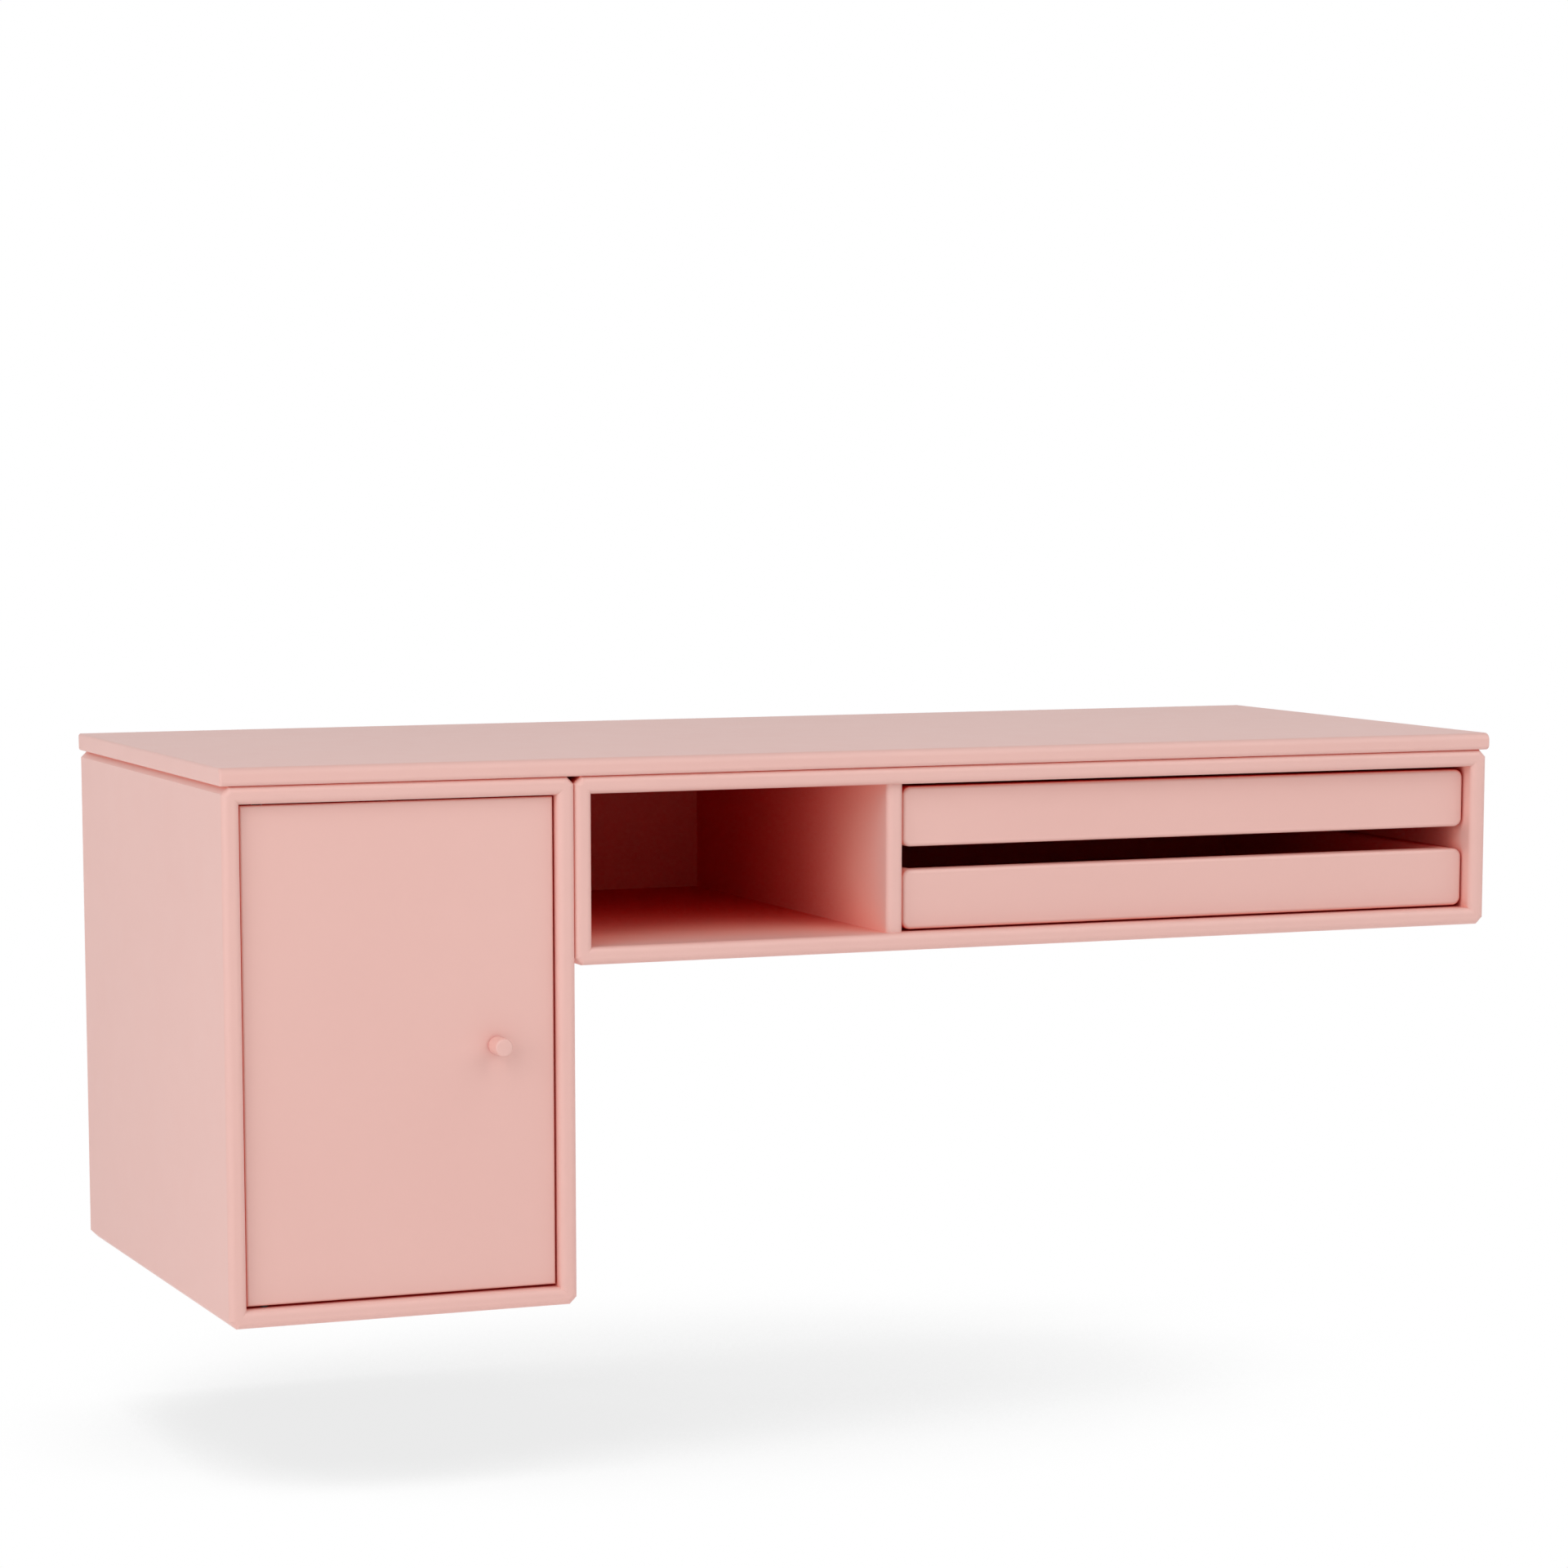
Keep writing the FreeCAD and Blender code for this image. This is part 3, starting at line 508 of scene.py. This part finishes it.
connectorLook = {
    "headHeight": 2.0,
    "headEase": 0.9,
    "underEase": 0.2,
    "keyWidth": 4.0,
    "keyDepth": 2.4,
    "landShare": 0.8,      # of the key's width, where the flat of the head ends
    "tipShare": 0.25,      # of the key's width, the drilled point under the socket
    "boltRadius": 3.0,
    "boltPitch": 1.0,
    "threadShare": 0.6,    # of the pitch, how deep the thread is
    "endShare": 0.8,       # of the pitch, how much the bolt's end is narrower
    "ridgeShare": 0.5,     # of a turn, on each side of the thread's crest
    "sleeveRadius": 4.0,
    "sleeveFloor": 4.0,    # solid metal between the socket and the bore
    "sleeveEase": 0.3,
    "collar": 0.1,         # step from the sleeve to its head
    "boreRadius": 3.05,
}


def keyedHead(headRadius, underRadius):
    look = connectorLook
    key = hexOutline(look["keyWidth"])
    tip = look["keyDepth"] + look["keyWidth"] * look["tipShare"]
    head = easeCorners([
        (underRadius, -look["headHeight"], 0),
        (headRadius, -look["headHeight"], look["underEase"]),
        (headRadius, 0, look["headEase"]),
        (look["keyWidth"] * look["landShare"], 0, 0),
    ])
    return head + [(key, 0), (key, -look["keyDepth"]), (0, -tip)]


def connectorBolt(mesh, box, towards):
    look = connectorLook
    place, length, headRadius = seatOf(box, towards)
    radius, pitch = look["boltRadius"], look["boltPitch"]
    profile = [(0, -length), (radius - pitch * look["endShare"], -length)]
    profile += threadRings(radius - pitch * look["threadShare"], radius, pitch,
                           pitch / 2 - length, -look["headHeight"] - pitch, look["ridgeShare"])
    turned(mesh, profile + keyedHead(headRadius, radius), place, towards)


def connectorSleeve(mesh, box, towards):
    look = connectorLook
    place, length, headRadius = seatOf(box, towards)
    boreFloor = -look["headHeight"] - look["sleeveFloor"]
    profile = easeCorners([
        (0, boreFloor, 0),
        (look["boreRadius"], boreFloor, 0),
        (look["boreRadius"], -length, look["sleeveEase"]),
        (look["sleeveRadius"], -length, look["sleeveEase"]),
        (look["sleeveRadius"], -look["headHeight"], 0),
    ])
    turned(mesh, profile + keyedHead(headRadius, look["sleeveRadius"] + look["collar"]), place, towards)


fastenerGroups = (
    ("worktopScrews", "worktop_screws", sunkScrew, (0, 0, -1)),
    ("catchScrews", "catch_screws", sunkScrew, (-1, 0, 0)),
    ("hangingScrews", "hanging_rail_screws", sunkScrew, (0, 1, 0)),
    ("connectorBolts", "connector_bolts", connectorBolt, (1, 0, 0)),
    ("connectorSleeves", "connector_sleeves", connectorSleeve, (-1, 0, 0)),
)
for name, nodeName, makeOne, towards in fastenerGroups:
    group = bmesh.new()
    for box in solidBoxes(nodeName):
        makeOne(group, box, towards)
    showPiece(name, group, "carcass", "zinc_steel", nodeName)
print("fasteners:", ", ".join(row[0] for row in fastenerGroups))


# turned knob and the screw behind it

knobLook = {
    "neckRadius": 4.5,
    "neckLength": 1.5,
    "neckEase": 0.4,
    "frontEase": 1.6,
    "crown": 0.15,         # the front is very slightly domed
    "boreRadius": 2.1,
    "boreDepth": 9.1,
    "easeSteps": 8,
    "sides": 96,
}


def turnedKnob():
    look = knobLook
    towards = (0, -1, 0)
    place, length, radius = seatOf(solidBoxes("door_knob")[0], towards)
    profile = easeCorners([
        (0, look["boreDepth"] - length, 0),
        (look["boreRadius"], look["boreDepth"] - length, 0),
        (look["boreRadius"], -length, 0),
        (look["neckRadius"], -length, 0),
        (look["neckRadius"], look["neckLength"] - length, look["neckEase"]),
        (radius, look["neckLength"] - length, look["neckEase"]),
        (radius, -look["crown"], look["frontEase"]),
        (radius / 2, -look["crown"] / 4, 0),
        (0, 0, 0),
    ], look["easeSteps"])
    knob = bmesh.new()
    turned(knob, profile, place, towards, look["sides"])
    showPiece("turnedKnob", knob, "door", "pink_lacquer", "door_knob")


knobScrewLook = {
    "shankRadius": 2.0,
    "pitch": 0.7,
    "threadShare": 0.6,    # of the pitch, how deep the thread is
    "ridgeShare": 0.5,     # of a turn, on each side of the thread's crest
    "headHeight": 2.2,
    "underEase": 0.2,
    "sideEase": 0.9,
    "topEase": 0.7,
    "topShare": 0.66,      # of the head's radius, where its side ends
    "crossReach": 2.0,
    "crossDepth": 1.5,
    "landShare": 1.15,     # of the cross, where the flat of the head ends
}


def knobScrew():
    look = knobScrewLook
    towards = (0, 1, 0)
    place, length, radius = seatOf(solidBoxes("knob_screw")[0], towards)
    shank, pitch, seat = look["shankRadius"], look["pitch"], -look["headHeight"]
    profile = [(0, -length), (shank - pitch, -length)]
    profile += threadRings(shank - pitch * look["threadShare"], shank, pitch,
                           pitch / 2 - length, seat - pitch, look["ridgeShare"])
    profile += easeCorners([
        (shank, seat, 0),
        (radius, seat, look["underEase"]),
        (radius, seat / 2, look["sideEase"]),
        (radius * look["topShare"], 0, look["topEase"]),
        (look["crossReach"] * look["landShare"], 0, 0),
    ])
    profile += crossRecess(look["crossReach"], look["crossDepth"])
    screw = bmesh.new()
    turned(screw, profile, place, towards)
    showPiece("knobScrew", screw, "door", "zinc_steel", "knob_screw")


# pivots, catch and runners

pivotLook = {"pinEase": 0.5, "bushEase": 0.35, "boreRadius": 2.55, "boreDepth": 9.3}


def doorPivots():
    look = pivotLook
    for level, towards in (("upper", (0, 0, 1)), ("lower", (0, 0, -1))):
        place, length, radius = seatOf(solidBoxes(level + "_pivot_pin")[0], towards)
        pin = bmesh.new()
        turned(pin, easeCorners([
            (0, -length, 0),
            (radius, -length, look["pinEase"]),
            (radius, 0, look["pinEase"]),
            (0, 0, 0),
        ]), place, towards)
        showPiece(level + "PivotPin", pin, "carcass", "dark_steel", level + "_pivot_pin")
        place, length, radius = seatOf(solidBoxes(level + "_pivot_bush")[0], towards)
        bush = bmesh.new()
        turned(bush, easeCorners([
            (0, -length, 0),
            (radius, -length, look["bushEase"]),
            (radius, 0, look["bushEase"]),
            (look["boreRadius"], 0, look["bushEase"]),
            (look["boreRadius"], -look["boreDepth"], 0),
            (0, -look["boreDepth"], 0),
        ]), place, towards)
        showPiece(level + "PivotBush", bush, "door", "nylon", level + "_pivot_bush")


strikeLook = {"pinRadius": 2.0, "discHeight": 1.5, "ease": 0.5, "dimpleRadius": 1.6, "dimpleDepth": 0.3}


def strikeDisc():
    look = strikeLook
    towards = (0, 1, 0)
    place, length, radius = seatOf(solidBoxes("strike_disc")[0], towards)
    disc = bmesh.new()
    turned(disc, easeCorners([
        (0, -length, 0),
        (look["pinRadius"], -length, look["ease"]),
        (look["pinRadius"], -look["discHeight"], 0),
        (radius, -look["discHeight"], look["ease"] / 2),
        (radius, 0, look["ease"]),
        (look["dimpleRadius"], 0, look["ease"] / 2),
        (look["dimpleRadius"] / 2, -look["dimpleDepth"], look["ease"] / 2),
        (0, -look["dimpleDepth"], 0),
    ]), place, towards)
    showPiece("strikeDisc", disc, "door", "zinc_steel", "strike_disc")


magnetLook = {"plate": 1.2, "ease": 0.2, "setBack": 0.4}


def catchMagnet():
    look = magnetLook
    low, high = solidBoxes("catch_magnet")[0]
    front = low.y + look["setBack"]                       # the plates stand a little before the magnet
    block, plates = bmesh.new(), bmesh.new()
    slab(block, [(front, low.z), (high.y, low.z), (high.y, high.z), (front, high.z)],
         low.x + look["plate"], high.x - look["plate"], look["ease"])
    for start in (low.x, high.x - look["plate"]):
        slab(plates, [(low.y, low.z), (high.y, low.z), (high.y, high.z), (low.y, high.z)],
             start, start + look["plate"], look["ease"])
    showPiece("catchMagnet", block, "carcass", "magnet", "catch_magnet")
    showPiece("polePlates", plates, "carcass", "zinc_steel")


runnerLook = {"lead": 14.0, "nose": 1.4, "ease": 0.5}


def runnerStrips():
    look = runnerLook
    for name in ("upperLeft", "upperRight", "lowerLeft", "lowerRight"):
        nodeName = name.replace("Left", "_left_runner").replace("Right", "_right_runner")
        low, high = solidBoxes(nodeName)[0]
        outline = [                                       # the nose narrows to guide the tray on
            (high.y, low.z), (low.y + look["lead"], low.z), (low.y, low.z + look["nose"]),
            (low.y, high.z - look["nose"]), (low.y + look["lead"], high.z), (high.y, high.z),
        ]
        strip = bmesh.new()
        slab(strip, outline, low.x, high.x, look["ease"])
        showPiece(name + "Runner", strip, "carcass", "nylon", nodeName)


turnedKnob()
knobScrew()
doorPivots()
strikeDisc()
catchMagnet()
runnerStrips()
print("fittings: knob, pivots, catch and runners")


# stage: pale floor with a painted shadow, white surround, soft lamps

stageLook = {
    "floorDrop": 118.0,      # under the cabinet's foot
    "floorSpan": 60.0,       # metres
    "floorColour": (0.90, 0.90, 0.90),
    # the floor glows a little, as painted bounce light onto the desk from below
    "floorGlow": 0.224,
    # the floor's shadow is painted: this grey where little open sky reaches, shown to the camera
    "paintedShadowColour": (0.828, 0.828, 0.828),
    "paintedShadowReach": 620.0,
    "paintedShadowRange": (0.49, 0.74),             # shares of open sky, for the painted shadow
    "paintedShadowLean": (-0.096, -0.276, 0.956),   # the painted shadow leans this way, as most of the light comes from the front left
    "worldLight": 0.30,
    "lampReach": 4.0,        # metres from the middle of the desk
}


def mixByRay(tree, lighting, seen):
    path = addNode(tree, "ShaderNodeLightPath")
    share = path.outputs["Is Camera Ray"]
    for ray in ("Is Glossy Ray", "Is Transmission Ray"):
        either = addNode(tree, "ShaderNodeMath", operation="MAXIMUM")
        tree.links.new(share, either.inputs[0])
        tree.links.new(path.outputs[ray], either.inputs[1])
        share = either.outputs["Value"]
    mixed = addNode(tree, "ShaderNodeMixShader")
    tree.links.new(share, mixed.inputs["Fac"])
    tree.links.new(lighting, mixed.inputs[1])
    tree.links.new(seen, mixed.inputs[2])
    return mixed.outputs["Shader"]


def paleFloorWithPaintedShadow():
    look = stageLook
    material, tree, shader = startMaterial("paleFloorWithPaintedShadow")
    shader.inputs["Base Color"].default_value = (*look["floorColour"], 1)
    shader.inputs["Emission Color"].default_value = (1, 1, 1, 1)
    shader.inputs["Emission Strength"].default_value = look["floorGlow"]
    shader.inputs["Roughness"].default_value = 1.0
    shader.inputs["Specular IOR Level"].default_value = 0.0
    # painted shadow: what the camera sees of the floor is tinted grey where little open sky reaches, not the
    # lamps' own shadow
    openness = openSky(tree, look["paintedShadowReach"], look["paintedShadowLean"])
    paintedShadowMask = shareOf(tree, openness, look["paintedShadowRange"], easing="SMOOTHSTEP")
    seen = addNode(tree, "ShaderNodeEmission")
    tree.links.new(tint(tree, paintedShadowMask, look["paintedShadowColour"], (1, 1, 1)), seen.inputs["Color"])
    seenMix = mixByRay(tree, shader.outputs["BSDF"], seen.outputs["Emission"])
    side = addNode(tree, "ShaderNodeNewGeometry").outputs["Backfacing"]
    clear = addNode(tree, "ShaderNodeBsdfTransparent")
    mixed = addNode(tree, "ShaderNodeMixShader")
    tree.links.new(side, mixed.inputs["Fac"])                    # seen from below the floor is not there
    tree.links.new(seenMix, mixed.inputs[1])
    tree.links.new(clear.outputs["BSDF"], mixed.inputs[2])
    tree.links.new(mixed.outputs["Shader"], tree.nodes["Material Output"].inputs["Surface"])
    return material


def layFloor():
    look = stageLook
    half = look["floorSpan"] / 2
    level = cadBox[0].z - look["floorDrop"] * mm
    mesh = bpy.data.meshes.new("floor")
    mesh.from_pydata([(-half, -half, level), (half, -half, level), (half, half, level), (-half, half, level)],
                     [], [(0, 1, 2, 3)])
    mesh.materials.append(paleFloorWithPaintedShadow())
    floor = bpy.data.objects.new("floor", mesh)
    bpy.context.scene.collection.objects.link(floor)
    floor.visible_shadow = False     # it shows a painted shadow and casts none, so the cabinet's foot stays pale


def whiteSurround():
    world = bpy.data.worlds.new("studio")
    bpy.context.scene.world = world
    world.use_nodes = True
    tree = world.node_tree
    light = tree.nodes["Background"]
    seen = addNode(tree, "ShaderNodeBackground")
    for background, strength in ((light, stageLook["worldLight"]), (seen, 1.0)):
        background.inputs["Color"].default_value = (1, 1, 1, 1)
        background.inputs["Strength"].default_value = strength
    mixed = mixByRay(tree, light.outputs["Background"], seen.outputs["Background"])
    tree.links.new(mixed, tree.nodes["World Output"].inputs["Surface"])


lampLooks = (                # bearings and heights in degrees, sizes in metres
    {"name": "keyLamp", "bearing": 40.0, "height": 40.0, "size": 3.6, "watts": 60.0},
    {"name": "fillLamp", "bearing": -55.0, "height": 20.0, "size": 2.6, "watts": 34.0},
    {"name": "sideLamp", "bearing": -70.0, "height": 5.0, "size": 2.6, "watts": 20.5},
    {"name": "highLamp", "bearing": -50.0, "height": 45.0, "size": 2.6, "watts": 26.0},
    {"name": "backLamp", "bearing": 180.0, "height": 0.0, "size": 1.2, "watts": 50.0, "glare": False},
)


def hangLamp(look):
    lamp = bpy.data.lights.new(look["name"], "AREA")
    lamp.size = look["size"]
    lamp.energy = look["watts"]
    holder = bpy.data.objects.new(look["name"], lamp)
    bearing, height = math.radians(look["bearing"]), math.radians(look["height"])
    level = math.cos(height)
    toLamp = Vector((math.sin(bearing) * level, -math.cos(bearing) * level, math.sin(height)))
    holder.location = (cadBox[0] + cadBox[1]) / 2 + toLamp * stageLook["lampReach"]
    holder.rotation_euler = (-toLamp).to_track_quat("-Z", "Y").to_euler()
    holder.visible_glossy = look.get("glare", True)
    bpy.context.scene.collection.objects.link(holder)


cameraLook = {
    "place": (-1218.5, -3141.9, 274.2),
    "turn": 22.419,      # degrees towards +X from straight on
    "tip": -7.428,       # degrees below the horizon
    "focal": 102.12,
    "sensor": 36.0,
    "shiftUp": 0.15625,  # the desk stands low in the picture
}


def setCamera():
    look = cameraLook
    camera = bpy.data.cameras.new("photoView")
    camera.sensor_width = look["sensor"]
    camera.lens = look["focal"]
    camera.shift_y = look["shiftUp"]
    holder = bpy.data.objects.new("photoView", camera)
    holder.location = Vector(look["place"]) * mm
    holder.rotation_euler = (math.radians(90 + look["tip"]), 0, -math.radians(look["turn"]))
    bpy.context.scene.collection.objects.link(holder)
    bpy.context.scene.camera = holder


layFloor()
whiteSurround()
for lampLook in lampLooks:
    hangLamp(lampLook)
setCamera()
bpy.context.scene.view_settings.view_transform = "Standard"
print("stage: floor, surround,", len(lampLooks), "lamps and camera")
